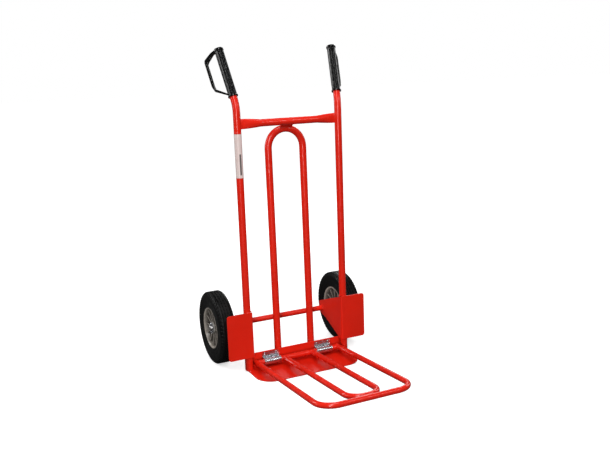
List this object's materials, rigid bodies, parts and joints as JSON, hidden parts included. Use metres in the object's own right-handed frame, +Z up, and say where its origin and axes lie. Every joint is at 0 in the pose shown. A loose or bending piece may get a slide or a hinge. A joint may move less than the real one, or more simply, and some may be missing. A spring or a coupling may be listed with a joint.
{
  "type": "hand truck",
  "caption": "Tubular steel sack truck with guarded upright grips, tall inner loop, solid-tyred wheels on a through axle, a floor toe plate and a fold-down tubular nose.",
  "frame": {"origin": "on the floor, under the toe plate, midway between the side tubes and in their plane", "axes": "+Z up along the side tubes, +X to the right wheel for someone looking at the load side, +Y back towards the person who pushes, so the nose points to -Y"},
  "size_m": [0.556, 0.7969, 1.1078],
  "materials": {
    "tube_paint": "gloss",
    "plate_paint": "gloss",
    "zinc_plate": "bright zinc plating",
    "tyre_rubber": "matt",
    "rim_grey": "satin",
    "bush_plastic": "satin",
    "grip_black": "satin",
    "label_film": "satin"
  },
  "bodies": {
    "frame": {"side_tube_left": "tube_paint", "side_tube_right": "tube_paint", "upper_cross_tube": "tube_paint", "inner_loop_tube": "tube_paint", "loop_tie_plate": "plate_paint", "toe_plate": "plate_paint", "wheel_bracket_left": "plate_paint", "wheel_bracket_right": "plate_paint", "axle_rod": "tube_paint", "axle_spacers": "zinc_plate", "axle_washers": "zinc_plate", "split_pins": "zinc_plate", "grip_left": "grip_black", "grip_right": "grip_black", "hinge_strap_left": "zinc_plate", "hinge_strap_right": "zinc_plate", "hinge_rivets": "zinc_plate", "label_band": "label_film"},
    "wheel_left": {"tyre_left": "tyre_rubber", "rim_left": "rim_grey", "bushes_left": "bush_plastic"},
    "wheel_right": {"tyre_right": "tyre_rubber", "rim_right": "rim_grey", "bushes_right": "bush_plastic"},
    "nose": {"nose_outer_tube": "tube_paint", "nose_hinge_tube": "tube_paint", "nose_inner_tube": "tube_paint"}
  },
  "joints": [
    {"name": "wheel_left_spin", "type": "hinge", "parent": "frame", "child": "wheel_left", "pos_m": [-0.2475, 0.147, 0.13], "axis": [1, 0, 0], "continuous": true},
    {"name": "wheel_right_spin", "type": "hinge", "parent": "frame", "child": "wheel_right", "pos_m": [0.2475, 0.147, 0.13], "axis": [1, 0, 0], "continuous": true},
    {"name": "nose_fold", "type": "hinge", "parent": "frame", "child": "nose", "pos_m": [0, -0.003, 0.0245], "axis": [-1, 0, 0], "range_deg": [0, 87.5]}
  ]
}
